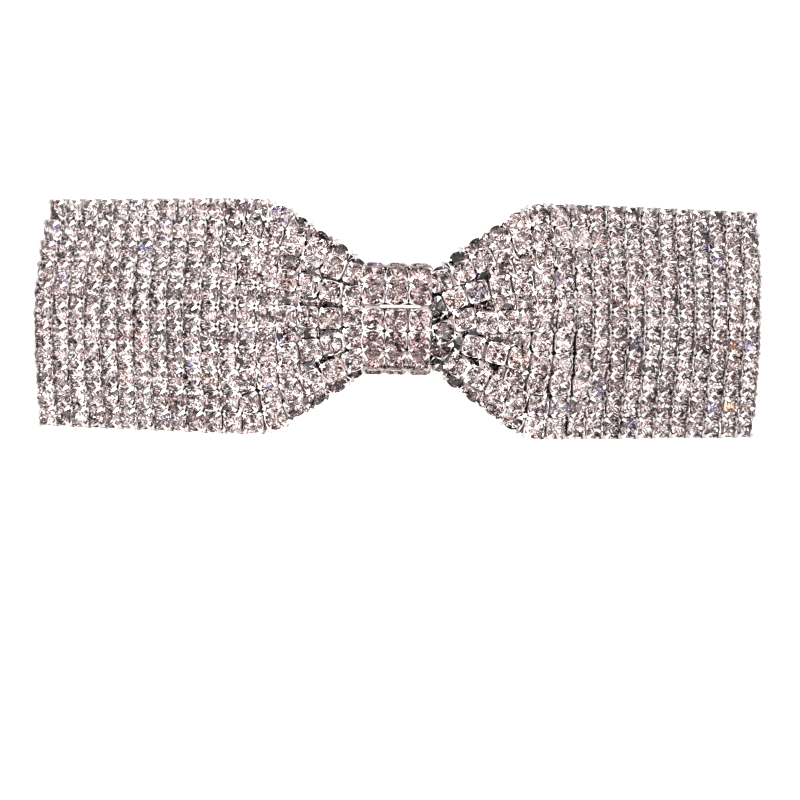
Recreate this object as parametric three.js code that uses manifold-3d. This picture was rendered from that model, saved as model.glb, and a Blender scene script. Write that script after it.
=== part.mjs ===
// Rhinestone bow hair clip: an automatic barrette under an arched mesh of stone chains.
// Millimetres. +X runs along the bow, -Y faces the viewer of the stones, +Z is up.
// The stone rows share one arch, and every sheet of the mechanism is bent from flat onto an arch.
import * as THREE from "three";
import { mergeVertices } from "three/addons/utils/BufferGeometryUtils.js";
import Module from "manifold-3d";

const wasm = await Module();
wasm.setup();

// ---------------------------------------------------------------- driving dimensions
const GAP = 0.3; // free air between neighbouring pieces
const ROWS = 11; // stone chains from the top edge to the bottom edge
const COLUMNS = 39; // stones in one chain
const PITCH = 2.87; // from stone to stone, along a chain and from chain to chain
const CHAIN_DEPTH = 2.4; // from the stones' tables to the backs of their cups

const BOW_RADIUS = 64; // arch of the stone faces
const BOW_BEND = THREE.MathUtils.degToRad(33); // the arch runs straight past this angle
const BOW_END = (COLUMNS * PITCH) / 2 - GAP / 2; // arc length from the middle to a short edge

const HALF_HEIGHT = (ROWS * PITCH) / 2; // half height of the wings
const PINCH_HALF = 5.15; // half height of the mesh inside the knot
const PINCH_FROM = 4.8; // arc length where the mesh leaves the knot
const PINCH_TO = 20; // arc length where it has its full height
const PINCH_POWER = 1.7; // how fast it fans out
// The mesh bulges out of its arch on both sides of the knot: rise, and arc lengths of its slopes.
const HUMP = { rise: 1.5, from: 5, top: 13, fall: 18, end: 36 };

const KNOT_PITCH = 3.05; // from knot chain to knot chain
const KNOT_OUTER = { front: -2.65, back: 4.1, half: 7.55, corner: 1.6 };
const KNOT_INNER = { front: -0.35, back: 2.95, half: 5.45, corner: 0.5 };
const SEAM = { from: -2.2, to: 3.2, front: -3.35, thick: 0.4, low: 1.4, high: 1.85 };

const SHEET = 0.8; // sheet thickness of the plate, the bar, the bracket and the latch base
const PLATE_DEPTH = 4.8; // from the stones' tables to the plate's front
const PLATE_END = 52.2;
const PLATE_HALF = 5;
const PANEL = { half: 3.1, taperFrom: 23, end: 31, step: 0.35, drop: 0.4 };
const TAB = { depth: 3.5, joggleFrom: 42.9, from: 45.2, half: 3.7, hole: 49, holeRadius: 1.1 };
const RIVET_AT = 41.4; // arc length of the rivets at both ends
const RIVET = { shank: 0.8, hole: 1.1, head: 1.4, headThick: 0.55 };
const GLUE = { at: 48.6, depth: 2.7, half: 2.6, thick: 0.5 };

const BAR_RADIUS = 62;
const BAR_APEX = 16; // depth of the bar's front face in the middle
const BAR_HALF = 5;
const BAR_TIP = 40.2; // arc length of the bar's free end
const TIP_LENGTH = 3.2; // stretch in which the free end is rounded
const FLARE = { from: 2.2, to: 8.5 }; // where the bar widens, counted from its hinge end
const HINGE = { x: -34.8, y: 25.6, pin: 0.6, head: 1.1, headThick: 0.4, bore: 0.95, knuckle: 1.7 };
const KNUCKLE = { from: 4.9, to: 7.2 };
const LUG = { head: 1.75, half: 4, low: -3.4, high: 3.2, lowShoulder: 2.4, highShoulder: 1.6 };
const FIELD = { from: -21, to: 22.5, share: 0.8, drop: 0.3 }; // sunk field along the bar's middle
const SPOON = { window: 34.6, windowHalf: 1.5, inner: 1.8, outer: 4.3 }; // windows for the hooks

const LEAF_RADIUS = 90;
const LEAF_APEX = 8.7;
const LEAF_END = 28.5;
const LEAF_THICK = 0.5;
const LEAF_HALF = 4;
const LEAF_TAPER = { from: 19, lost: 0.62, crown: 0.25 };

// The latch is drawn in its own frame on the plate's back: t outward, n out of the back, z across.
const BAR_BACK_N = 9; // height of the closed bar's back face in that frame
const WING = { footN: 1.95, sheet: 0.6, low: -2.6, high: 2.4, wallZ: 6.3, flareFrom: 8.7, flare: 24 };
const LEG = { from: 1.9, to: 3.1, z: 3.1, foot: 1.6, top: BAR_BACK_N + 0.9, barb: 0.3 };
const BIG_LOBE = { t: -5.4, n: 11.6, radius: 2.9 };
const SMALL_LOBE = { t: 2.6, n: 10.8, radius: 2 };
const WAIST = [[0.6, 12.2], [-1.4, 13.6]]; // the ear's upper edge between its two lobes
const LATCH_FLOOR = { low: -4.2, high: 3.3, half: 5.2, lip: 0.8, lipTop: 2.8, lipHalf: 3.2 };

// ---------------------------------------------------------------- arches
// An arch turns flat sheet coordinates, s along the sheet and d into its depth, into x and y.
function makeArch(apex, radius, bend = Math.PI / 2) {
  return (s, d) => {
    const angle = THREE.MathUtils.clamp(s / radius, -bend, bend);
    const past = s - angle * radius;
    const reach = radius - d;
    const x = reach * Math.sin(angle) + past * Math.cos(angle);
    const y = apex + radius - reach * Math.cos(angle) + past * Math.sin(angle);
    return { x, y, angle };
  };
}

const bowArch = makeArch(0, BOW_RADIUS, BOW_BEND);
const barArch = makeArch(BAR_APEX, BAR_RADIUS);
const leafArch = makeArch(LEAF_APEX, LEAF_RADIUS);

// A frame that stands on an arch: X along the sheet, Y out of its back, Z across it.
function frameOn(arch, s, d) {
  const frame = new THREE.Group();
  const { x, y, angle } = arch(s, d);
  frame.position.set(x, y, 0);
  frame.rotation.z = angle;
  return frame;
}

// ---------------------------------------------------------------- shape tools
const steps = (from, to, count) => {
  return Array.from({ length: count + 1 }, (_, i) => from + ((to - from) * i) / count);
};

const ramp = (value, from, to) => THREE.MathUtils.smoothstep(value, from, to);

// A flat strip bent onto an arch. `across` gives the z values of the lines that run along it,
// and `front` gives the depth of the front face on each of those lines.
function bentStrip(arch, { stations, across, front, thick }) {
  const lines = across(0).length - 1;
  const spans = stations.length - 1;
  const geometry = new THREE.BoxGeometry(1, 1, 1, spans, 1, lines);
  const position = geometry.attributes.position;
  for (let i = 0; i < position.count; i++) {
    const s = stations[Math.round((position.getX(i) + 0.5) * spans)];
    const line = Math.round((position.getZ(i) + 0.5) * lines);
    const back = position.getY(i) > 0 ? thick : 0;
    const { x, y } = arch(s, front(s, line) + back);
    position.setXYZ(i, x, y, across(s)[line]);
  }
  return geometry;
}

function weld(geometry) {
  const bare = geometry.clone();
  bare.deleteAttribute("normal");
  bare.deleteAttribute("uv");
  const merged = mergeVertices(bare, 1e-4);
  const kept = [];
  const index = merged.index.array;
  for (let i = 0; i < index.length; i += 3) {
    const [a, b, c] = [index[i], index[i + 1], index[i + 2]];
    if (a !== b && b !== c && c !== a) kept.push(a, b, c);
  }
  merged.setIndex(kept);
  return merged;
}

function toSolid(geometry) {
  const merged = weld(geometry);
  const vertProperties = new Float32Array(merged.attributes.position.array);
  const triVerts = new Uint32Array(merged.index.array);
  return new wasm.Manifold(new wasm.Mesh({ numProp: 3, vertProperties, triVerts }));
}

function toGeometry(solid) {
  const mesh = solid.getMesh();
  const geometry = new THREE.BufferGeometry();
  geometry.setAttribute("position", new THREE.BufferAttribute(mesh.vertProperties, 3));
  geometry.setIndex(new THREE.BufferAttribute(mesh.triVerts, 1));
  const faceted = geometry.toNonIndexed();
  faceted.computeVertexNormals();
  return faceted;
}

function cut(geometry, ...tools) {
  const solid = tools.reduce((left, tool) => left.subtract(toSolid(tool)), toSolid(geometry));
  return toGeometry(solid);
}

function join(...geometries) {
  const [first, ...rest] = geometries.map(toSolid);
  return toGeometry(rest.reduce((whole, solid) => whole.add(solid), first));
}

// A tool or a detail drawn in a frame on an arch, moved to where the arch puts it.
function placedOn(arch, s, d, geometry) {
  const frame = frameOn(arch, s, d);
  frame.updateMatrix();
  return geometry.clone().applyMatrix4(frame.matrix);
}

// A round rod or punch whose axis is the sheet's normal.
function punch(radius, length, sides = 20) {
  return new THREE.CylinderGeometry(radius, radius, length, sides);
}

// A round rod along Z from one height to another.
function rodZ(radius, from, to, sides = 24) {
  const rod = new THREE.CylinderGeometry(radius, radius, to - from, sides);
  rod.rotateX(Math.PI / 2);
  rod.translate(0, 0, (from + to) / 2);
  return rod;
}

// An outline drawn in X and Y, as thick as the stretch of Z it fills.
function plateZ(points, from, to) {
  const shape = new THREE.Shape(points.map(([x, y]) => new THREE.Vector2(x, y)));
  const geometry = new THREE.ExtrudeGeometry(shape, { depth: to - from, bevelEnabled: false });
  geometry.translate(0, 0, from);
  return geometry;
}

function box(x0, x1, y0, y1, z0, z1) {
  const geometry = new THREE.BoxGeometry(x1 - x0, y1 - y0, z1 - z0);
  geometry.translate((x0 + x1) / 2, (y0 + y1) / 2, (z0 + z1) / 2);
  return geometry;
}

// Points of an arc round a centre, for outlines.
function arcPoints(x, y, radius, fromDegrees, toDegrees, count) {
  return steps(fromDegrees, toDegrees, count).map((degrees) => {
    const angle = THREE.MathUtils.degToRad(degrees);
    return [x + radius * Math.cos(angle), y + radius * Math.sin(angle)];
  });
}

const flipZ = (geometry) => {
  const flipped = geometry.index ? geometry.toNonIndexed() : geometry.clone();
  const position = flipped.attributes.position;
  for (let i = 0; i < position.count; i += 3) {
    const corner = [i, i + 2, i + 1].map((k) => new THREE.Vector3().fromBufferAttribute(position, k));
    corner.forEach((point, k) => position.setXYZ(i + k, point.x, point.y, -point.z));
  }
  flipped.computeVertexNormals();
  return flipped;
};

// ---------------------------------------------------------------- materials
const finishes = {
  stones: { color: 0xd9d4da, roughness: 0.25, metalness: 0.7 },
  knot: { color: 0xcfc6cd, roughness: 0.2, metalness: 0.7 },
  nickel: { color: 0xc9c7c4, roughness: 0.18, metalness: 1 },
  spring: { color: 0xdcdad6, roughness: 0.12, metalness: 1 },
  steel: { color: 0xb2b0ad, roughness: 0.3, metalness: 1 },
  glue: { color: 0xe6e0d2, roughness: 0.6, metalness: 0 },
};

function piece(name, finish, geometry) {
  const mesh = new THREE.Mesh(geometry, new THREE.MeshStandardMaterial(finishes[finish]));
  mesh.name = name;
  return mesh;
}

// ---------------------------------------------------------------- stone mesh
// Share of the full row pitch that is left at a place along the bow.
function pinch(s) {
  const outward = THREE.MathUtils.clamp((Math.abs(s) - PINCH_FROM) / (PINCH_TO - PINCH_FROM), 0, 1);
  const lost = (HALF_HEIGHT - PINCH_HALF) * (1 - outward) ** PINCH_POWER;
  return (HALF_HEIGHT - lost) / HALF_HEIGHT;
}

function hump(s) {
  const rise = ramp(Math.abs(s), HUMP.from, HUMP.top) * (1 - ramp(Math.abs(s), HUMP.fall, HUMP.end));
  return HUMP.rise * rise;
}

function chainRow(row) {
  const fromMiddle = (ROWS - 1) / 2 - row;
  const across = (s) => {
    const pitch = PITCH * pinch(s);
    const half = (pitch - GAP) / 2;
    return [fromMiddle * pitch - half, fromMiddle * pitch + half];
  };
  const stations = steps(-BOW_END, BOW_END, COLUMNS);
  return bentStrip(bowArch, { stations, across, front: (s) => -hump(s), thick: CHAIN_DEPTH });
}

// ---------------------------------------------------------------- knot
// A rounded rectangle in depth and height, as seen from the end of the bow.
function loopPath(path, { front, back, half, corner }) {
  path.moveTo(front + corner, -half);
  path.lineTo(back - corner, -half);
  path.absarc(back - corner, -half + corner, corner, -Math.PI / 2, 0);
  path.lineTo(back, half - corner);
  path.absarc(back - corner, half - corner, corner, 0, Math.PI / 2);
  path.lineTo(front + corner, half);
  path.absarc(front + corner, half - corner, corner, Math.PI / 2, Math.PI);
  path.lineTo(front, -half + corner);
  path.absarc(front + corner, -half + corner, corner, Math.PI, Math.PI * 1.5);
  return path;
}

function knotChain(position) {
  const loop = loopPath(new THREE.Shape(), KNOT_OUTER);
  loop.holes.push(loopPath(new THREE.Path(), KNOT_INNER));
  const width = KNOT_PITCH - GAP;
  const geometry = new THREE.ExtrudeGeometry(loop, { depth: width, bevelEnabled: false, curveSegments: 4 });
  geometry.translate(0, 0, -width / 2);
  const depthHeightAlong = new THREE.Matrix4().makeBasis(
    new THREE.Vector3(0, 1, 0),
    new THREE.Vector3(0, 0, 1),
    new THREE.Vector3(1, 0, 0),
  );
  geometry.applyMatrix4(depthHeightAlong);
  geometry.translate(position * KNOT_PITCH, 0, 0);
  return geometry;
}

function seamStrip() {
  return box(SEAM.from, SEAM.to, SEAM.front, SEAM.front + SEAM.thick, SEAM.low, SEAM.high);
}

// ---------------------------------------------------------------- base plate and what is fixed to it
function plateHalf(s) {
  const reach = Math.abs(s);
  const neck = PLATE_HALF - (PLATE_HALF - TAB.half) * ramp(reach, TAB.joggleFrom, TAB.from);
  const tip = THREE.MathUtils.clamp((reach - (PLATE_END - TAB.half)) / TAB.half, 0, 0.96);
  return neck * Math.sqrt(1 - tip ** 2);
}

function basePlate() {
  const panelHalf = (s) => PANEL.half * (1 - ramp(Math.abs(s), PANEL.taperFrom, PANEL.end));
  const across = (s) => {
    const rim = plateHalf(s);
    const panel = Math.min(panelHalf(s) + 0.15, rim * 0.5);
    const step = Math.min(panel + PANEL.step, rim * 0.75);
    return [-rim, -step, -panel, panel, step, rim];
  };
  const front = (s, line) => {
    const onPanel = line === 2 || line === 3;
    const drop = onPanel && Math.abs(s) < PANEL.end ? PANEL.drop : 0;
    const joggle = (PLATE_DEPTH - TAB.depth) * ramp(Math.abs(s), TAB.joggleFrom, TAB.from);
    return PLATE_DEPTH - drop - joggle;
  };
  const inner = steps(1 - TAB.joggleFrom, TAB.joggleFrom - 1, 32);
  const joggle = steps(TAB.joggleFrom, TAB.from, 2);
  const roundEnd = [90, 60, 40, 20, 0].map((degrees) => {
    return PLATE_END - TAB.half * (1 - Math.cos(THREE.MathUtils.degToRad(degrees)));
  });
  const outer = [...joggle, ...roundEnd];
  const stations = [...outer.map((s) => -s).reverse(), ...inner, ...outer];
  const sheet = bentStrip(bowArch, { stations, across, front, thick: SHEET });
  const holes = [-1, 1].flatMap((side) => [
    placedOn(bowArch, side * TAB.hole, TAB.depth, punch(TAB.holeRadius, 4)),
    placedOn(bowArch, side * RIVET_AT, PLATE_DEPTH, punch(RIVET.hole, 4)),
  ]);
  return cut(sheet, ...holes);
}

function gluePad(side) {
  const pad = box(-GLUE.half, GLUE.half, 0, GLUE.thick, -GLUE.half, GLUE.half);
  return placedOn(bowArch, side * GLUE.at, GLUE.depth, pad);
}

// A rivet whose round head lies on `top` and whose formed tail is in front of the plate.
function rivet(top) {
  const tail = -SHEET - GAP;
  const profile = [
    [0, tail - RIVET.headThick],
    [RIVET.head, tail - RIVET.headThick],
    [RIVET.head, tail],
    [RIVET.shank, tail],
    [RIVET.shank, top],
    [RIVET.head, top],
    [RIVET.head * 0.75, top + RIVET.headThick * 0.7],
    [0, top + RIVET.headThick],
  ];
  return new THREE.LatheGeometry(profile.map(([r, y]) => new THREE.Vector2(r, y)), 20);
}

// ---------------------------------------------------------------- hinge
// The bracket is drawn in the plate's frame at the rivet: a floor with two lugs that carry the pin.
const hingeFrame = frameOn(bowArch, -RIVET_AT, PLATE_DEPTH + SHEET);
hingeFrame.updateMatrixWorld(true);
const hingeInFrame = hingeFrame.worldToLocal(new THREE.Vector3(HINGE.x, HINGE.y, 0));

function hingeBracket() {
  const { x, y } = hingeInFrame;
  const { low, high, half } = LUG;
  const floor = box(low, high, GAP, GAP + SHEET, -half, half);
  const head = arcPoints(x, y, LUG.head, -20, 200, 16);
  const outline = [[low, GAP], [high, GAP], [high, LUG.highShoulder], ...head, [low, LUG.lowShoulder]];
  const lugs = [plateZ(outline, half - SHEET, half), plateZ(outline, -half, SHEET - half)];
  const bore = rodZ(HINGE.pin + GAP, -KNUCKLE.to, KNUCKLE.to).translate(x, y, 0);
  const rivetHole = punch(RIVET.hole, 4);
  return cut(join(floor, ...lugs), bore, rivetHole);
}

function hingePin() {
  const half = KNUCKLE.to + GAP;
  const { pin: shank, head, headThick } = HINGE;
  const profile = [
    [0, -half - headThick],
    [head, -half - headThick],
    [head, -half],
    [shank, -half],
    [shank, half],
    [head, half],
    [head, half + headThick],
    [0, half + headThick],
  ];
  const rod = new THREE.LatheGeometry(profile.map(([r, y]) => new THREE.Vector2(r, y)), 20);
  rod.rotateX(Math.PI / 2);
  return rod.translate(HINGE.x, HINGE.y, 0);
}

// ---------------------------------------------------------------- clasp bar
const BAR_HINGE_END = -BAR_RADIUS * Math.asin(-HINGE.x / BAR_RADIUS) + 0.2;

function barHalf(s) {
  const flare = (KNUCKLE.to - BAR_HALF) * (1 - ramp(s - BAR_HINGE_END, FLARE.from, FLARE.to));
  const tip = THREE.MathUtils.clamp((s - BAR_TIP) / TIP_LENGTH + 1, 0, 0.9);
  return (BAR_HALF + flare) * Math.sqrt(1 - tip ** 2);
}

function claspBar() {
  const across = (s) => {
    const half = barHalf(s);
    const edge = half * (FIELD.share + 0.06);
    return [-half, -edge, -half * FIELD.share, half * FIELD.share, edge, half];
  };
  const front = (s, line) => {
    const inField = s > FIELD.from && s < FIELD.to;
    const onField = line === 2 || line === 3;
    return inField && onField ? -FIELD.drop : 0;
  };
  const tipStations = [90, 50, 35, 20, 0].map((degrees) => {
    return BAR_TIP - TIP_LENGTH * (1 - Math.cos(THREE.MathUtils.degToRad(degrees)));
  });
  const stations = [...steps(BAR_HINGE_END, BAR_TIP - TIP_LENGTH - 1, 32), ...tipStations];
  const sheet = bentStrip(barArch, { stations, across, front, thick: SHEET });
  const knuckles = [-1, 1].map((side) => {
    const ends = [side * KNUCKLE.from, side * KNUCKLE.to].sort((a, b) => a - b);
    return rodZ(HINGE.knuckle, ...ends).translate(HINGE.x, HINGE.y, 0);
  });
  const bore = rodZ(HINGE.bore, -KNUCKLE.to - 1, KNUCKLE.to + 1).translate(HINGE.x, HINGE.y, 0);
  const lugRoom = box(-4, LUG.head + 3 * GAP, -2, 3, -KNUCKLE.from, KNUCKLE.from);
  const notch = placedOn(barArch, BAR_HINGE_END, 0, lugRoom);
  const windows = [-1, 1].map((side) => {
    const z = [side * SPOON.inner, side * SPOON.outer].sort((a, b) => a - b);
    const window = box(-SPOON.windowHalf, SPOON.windowHalf, -2, 2, ...z);
    return placedOn(barArch, SPOON.window, 0, window);
  });
  return cut(join(sheet, ...knuckles), bore, notch, ...windows);
}

// ---------------------------------------------------------------- tension leaf
function tensionLeaf() {
  const half = (s) => LEAF_HALF * (1 - LEAF_TAPER.lost * ramp(Math.abs(s), LEAF_TAPER.from, LEAF_END));
  const across = (s) => [-half(s), 0, half(s)];
  const front = (s, line) => (line === 1 ? LEAF_TAPER.crown : 0);
  const stations = steps(-LEAF_END, LEAF_END, 24);
  return bentStrip(leafArch, { stations, across, front, thick: LEAF_THICK });
}

// ---------------------------------------------------------------- latch
function latchBase() {
  const { low, high, half, lip, lipTop, lipHalf } = LATCH_FLOOR;
  const floor = box(low, high, GAP, GAP + SHEET, -half, half);
  const upturned = box(low, low + lip, GAP, lipTop, -lipHalf, lipHalf);
  return cut(join(floor, upturned), punch(RIVET.hole, 4));
}

// One wing, drawn for +Z: a foot over the base, a hook leg through the bar's window, an ear outside.
function latchWing() {
  const { sheet, wallZ, flareFrom } = WING;
  const base = WING.footN - sheet / 2;
  const foot = box(WING.low, WING.high, base, base + sheet, LEG.z, wallZ + sheet);
  const legFoot = box(LEG.from, LEG.to, base, base + sheet, LEG.z, LEG.z + LEG.foot);
  const leg = box(LEG.from, LEG.to, base, LEG.top, LEG.z, LEG.z + sheet);
  const barb = box(LEG.from, LEG.to, LEG.top - sheet, LEG.top, LEG.z, LEG.z + sheet + LEG.barb);
  const wall = box(WING.low, WING.high, base, flareFrom + sheet, wallZ, wallZ + sheet);
  const bigLobe = arcPoints(BIG_LOBE.t, BIG_LOBE.n, BIG_LOBE.radius, 80, 250, 16);
  const smallLobe = arcPoints(SMALL_LOBE.t, SMALL_LOBE.n, SMALL_LOBE.radius, -90, 90, 12);
  const ear = plateZ([...bigLobe, ...smallLobe, ...WAIST], 0, sheet);
  ear.translate(0, -flareFrom, 0);
  ear.rotateX(THREE.MathUtils.degToRad(WING.flare));
  ear.translate(0, flareFrom, wallZ);
  return join(foot, legFoot, leg, barb, wall, ear);
}

// ---------------------------------------------------------------- assembly
const clip = new THREE.Group();

for (let row = 0; row < ROWS; row++) {
  const name = `chain_row_${String(row + 1).padStart(2, "0")}`;
  clip.add(piece(name, "stones", chainRow(row)));
}
["left", "middle", "right"].forEach((side, i) => {
  clip.add(piece(`knot_chain_${side}`, "knot", knotChain(i - 1)));
});
clip.add(piece("knot_seam_strip", "nickel", seamStrip()));

clip.add(piece("base_plate", "nickel", basePlate()));
clip.add(piece("glue_pad_left", "glue", gluePad(-1)));
clip.add(piece("glue_pad_right", "glue", gluePad(1)));

hingeFrame.add(piece("hinge_bracket", "nickel", hingeBracket()));
hingeFrame.add(piece("hinge_rivet", "steel", rivet(GAP + SHEET + GAP)));
clip.add(hingeFrame);
clip.add(piece("hinge_pin", "steel", hingePin()));
clip.add(piece("clasp_bar", "nickel", claspBar()));
clip.add(piece("tension_leaf", "spring", tensionLeaf()));

const latchFrame = frameOn(bowArch, RIVET_AT, PLATE_DEPTH + SHEET);
latchFrame.add(piece("latch_base", "nickel", latchBase()));
latchFrame.add(piece("latch_rivet", "steel", rivet(GAP + SHEET + GAP)));
latchFrame.add(piece("latch_wing_upper", "spring", latchWing()));
latchFrame.add(piece("latch_wing_lower", "spring", flipZ(latchWing())));
clip.add(latchFrame);

// The origin is under the middle of the whole clip, on the surface that it stands on.
clip.updateMatrixWorld(true);
const bounds = new THREE.Box3().setFromObject(clip, true);
const middle = bounds.getCenter(new THREE.Vector3());
clip.position.set(-middle.x, -middle.y, -bounds.min.z);

export default clip;
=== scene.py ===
"""Rhinestone bow hair clip: looks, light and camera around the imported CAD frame.

Drawings are made in millimetres, flat, and bent onto the same arches that the CAD parts use.
"""

import math
from functools import partial

import bmesh
import bpy
import numpy as np
from mathutils import Matrix, Vector


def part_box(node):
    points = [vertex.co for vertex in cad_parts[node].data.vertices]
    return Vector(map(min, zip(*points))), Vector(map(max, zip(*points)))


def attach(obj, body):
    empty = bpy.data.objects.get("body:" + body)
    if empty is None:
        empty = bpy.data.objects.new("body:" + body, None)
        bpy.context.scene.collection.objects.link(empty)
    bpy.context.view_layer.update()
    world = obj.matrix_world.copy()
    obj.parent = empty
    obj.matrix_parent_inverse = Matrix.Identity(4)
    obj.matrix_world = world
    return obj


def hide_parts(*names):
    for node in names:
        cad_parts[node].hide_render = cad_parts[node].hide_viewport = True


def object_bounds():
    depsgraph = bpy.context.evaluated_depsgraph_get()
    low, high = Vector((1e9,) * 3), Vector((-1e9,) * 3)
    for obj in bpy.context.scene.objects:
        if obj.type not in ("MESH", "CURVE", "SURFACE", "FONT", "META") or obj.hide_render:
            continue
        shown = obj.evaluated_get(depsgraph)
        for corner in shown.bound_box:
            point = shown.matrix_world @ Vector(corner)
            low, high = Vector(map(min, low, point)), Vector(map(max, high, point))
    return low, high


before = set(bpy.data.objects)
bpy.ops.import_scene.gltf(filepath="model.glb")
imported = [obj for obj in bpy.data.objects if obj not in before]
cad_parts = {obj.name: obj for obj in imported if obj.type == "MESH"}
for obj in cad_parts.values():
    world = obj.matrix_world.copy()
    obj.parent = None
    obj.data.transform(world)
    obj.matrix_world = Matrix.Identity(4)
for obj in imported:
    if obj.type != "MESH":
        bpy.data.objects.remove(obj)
cad_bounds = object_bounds()

# ---- dimensions, in millimetres
MM = 0.001
ROWS, COLUMNS, PITCH, ROW_PITCH = 11, 39, 2.87, 2.82
BOW_RADIUS, BOW_BEND = 64.0, math.radians(33)
HALF_HEIGHT = ROWS * PITCH / 2
CHAIN_DEPTH = 2.4
PINCH_HALF, PINCH_FROM, PINCH_TO, PINCH_POWER = 5.4, 4.8, 20.0, 1.7
HUMP, HUMP_FROM, HUMP_TOP, HUMP_FALL, HUMP_END = 1.5, 5.0, 13.0, 18.0, 36.0
KNOT_PITCH = 3.05
KNOT_FRONT = -2.65
PLATE_DEPTH, PLATE_END, PLATE_HALF, SHEET = 4.8, 52.2, 5.0, 0.8
TAB_DEPTH, TAB_JOGGLE, TAB_FROM, TAB_HALF, TAB_HOLE, TAB_HOLE_RADIUS = 3.5, 42.9, 45.2, 3.7, 49.0, 1.1
RIVET_AT = 41.4
BAR_RADIUS, BAR_APEX, BAR_HALF, BAR_TIP = 62.0, 16.0, 5.0, 40.2
HINGE_X, HINGE_Y, PIN_RADIUS, KNUCKLE_RADIUS = -34.8, 25.6, 0.6, 1.7
KNUCKLE_FROM, KNUCKLE_TO, KNUCKLE_BORE = 4.9, 7.2, 0.95
LEAF_RADIUS, LEAF_APEX, LEAF_END, LEAF_THICK, LEAF_HALF = 90.0, 8.7, 28.5, 0.5, 4.0

# The CAD model is drawn round the arch's apex and then moved: these are that move.
SHIFT_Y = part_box("knot_chain_middle")[0].y / MM - KNOT_FRONT
SHIFT_Z = (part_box("chain_row_06")[0].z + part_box("chain_row_06")[1].z) / 2 / MM

rng = np.random.default_rng(7)


# ---- arches
def arch(apex, radius, bend, s, d):
    """Flat sheet coordinates, s along and d deep, to x, y and the sheet's slope."""
    s, d = np.asarray(s, float), np.asarray(d, float)
    angle = np.clip(s / radius, -bend, bend)
    past = s - angle * radius
    reach = radius - d
    x = reach * np.sin(angle) + past * np.cos(angle)
    y = apex + radius - reach * np.cos(angle) + past * np.sin(angle)
    return x, y, angle


bow_arch = partial(arch, 0, BOW_RADIUS, BOW_BEND)
bar_arch = partial(arch, BAR_APEX, BAR_RADIUS, math.pi / 2)
leaf_arch = partial(arch, LEAF_APEX, LEAF_RADIUS, math.pi / 2)


def smooth(value, low, high):
    t = np.clip((np.asarray(value, float) - low) / (high - low), 0, 1)
    return t * t * (3 - 2 * t)


def hump(s):
    """How far the mesh bulges out of its arch on each side of the knot."""
    reach = np.abs(s)
    return HUMP * smooth(reach, HUMP_FROM, HUMP_TOP) * (1 - smooth(reach, HUMP_FALL, HUMP_END))


def in_frame(points):
    """Millimetres in the drawing to metres in the shared frame, never past the CAD model's box."""
    metres = (np.asarray(points, float) + [0, SHIFT_Y, SHIFT_Z]) * MM
    return np.clip(metres, cad_bounds[0], cad_bounds[1])


# ---- mesh tools
def new_object(name, data):
    obj = bpy.data.objects.new(name, data)
    bpy.context.scene.collection.objects.link(obj)
    return obj


def new_mesh(name, points, faces, material_index=None):
    mesh = bpy.data.meshes.new(name)
    mesh.from_pydata([tuple(p) for p in in_frame(points)], [], [tuple(f) for f in faces])
    if material_index is not None:
        mesh.polygons.foreach_set("material_index", material_index)
    mesh.update()
    return new_object(name, mesh)


def mark(obj, name, domain, values):
    """Keep a number from 0 to 1 for each face or point, for the material to read."""
    obj.data.attributes.new(name, "FLOAT", domain).data.foreach_set("value", values)
    return obj


def mark_painted_shade(obj, values):
    """Keep how much painted shade each point takes, by how deep in a hollow between parts it lies."""
    return mark(obj, "painted_shade", "POINT", np.concatenate(values))


def face_out(obj):
    """Turn every face outwards."""
    made = bmesh.new()
    made.from_mesh(obj.data)
    bmesh.ops.recalc_face_normals(made, faces=made.faces)
    made.to_mesh(obj.data)
    made.free()
    return obj


def carve(obj, *cutters):
    """Cut the other objects' shapes out of this one, for good."""
    for each in cutters:
        modifier = obj.modifiers.new("carve", "BOOLEAN")
        modifier.object = face_out(each)
        modifier.solver = "EXACT"
    bpy.context.view_layer.update()
    solved = obj.evaluated_get(bpy.context.evaluated_depsgraph_get())
    mesh = bpy.data.meshes.new_from_object(solved)
    obj.modifiers.clear()
    old = obj.data
    obj.data = mesh
    bpy.data.meshes.remove(old)
    for each in cutters:
        bpy.data.objects.remove(each)
    return obj


def join_meshes(name, *pieces):
    """One object that holds the given pieces' meshes, which it uses up."""
    made = bmesh.new()
    for piece in pieces:
        made.from_mesh(piece.data)
        bpy.data.objects.remove(piece)
    mesh = bpy.data.meshes.new(name)
    made.to_mesh(mesh)
    made.free()
    return new_object(name, mesh)


def stamp(template, places):
    """Copies of one small mesh at many places. A place is a 4 by 4 matrix in millimetres."""
    points, faces, kinds = template
    homogeneous = np.c_[points, np.ones(len(points))]
    all_points = [(homogeneous @ place.T)[:, :3] for place in places]
    all_faces = [[i + k * len(points) for i in face] for k in range(len(places)) for face in faces]
    return np.concatenate(all_points), all_faces, list(kinds) * len(places)


def join_templates(*templates):
    points, faces, kinds, base = [], [], [], 0
    for p, f, k in templates:
        points.append(np.asarray(p, float))
        faces += [[i + base for i in face] for face in f]
        kinds += k
        base += len(p)
    return np.concatenate(points), faces, kinds


def shade(obj, angle=None):
    """Flat facets, or smooth over edges of less than an angle in degrees."""
    obj.data.polygons.foreach_set("use_smooth", [angle is not None] * len(obj.data.polygons))
    if angle is not None:
        obj.data.set_sharp_from_angle(angle=math.radians(angle))
    return obj


def rings_to_faces(count, sides, capped=True):
    faces = []
    for r in range(count - 1):
        for i in range(sides):
            j = (i + 1) % sides
            faces.append([r * sides + i, r * sides + j, (r + 1) * sides + j, (r + 1) * sides + i])
    if capped:
        faces.append(list(range(sides))[::-1])
        faces.append([(count - 1) * sides + i for i in range(sides)])
    return faces


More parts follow.
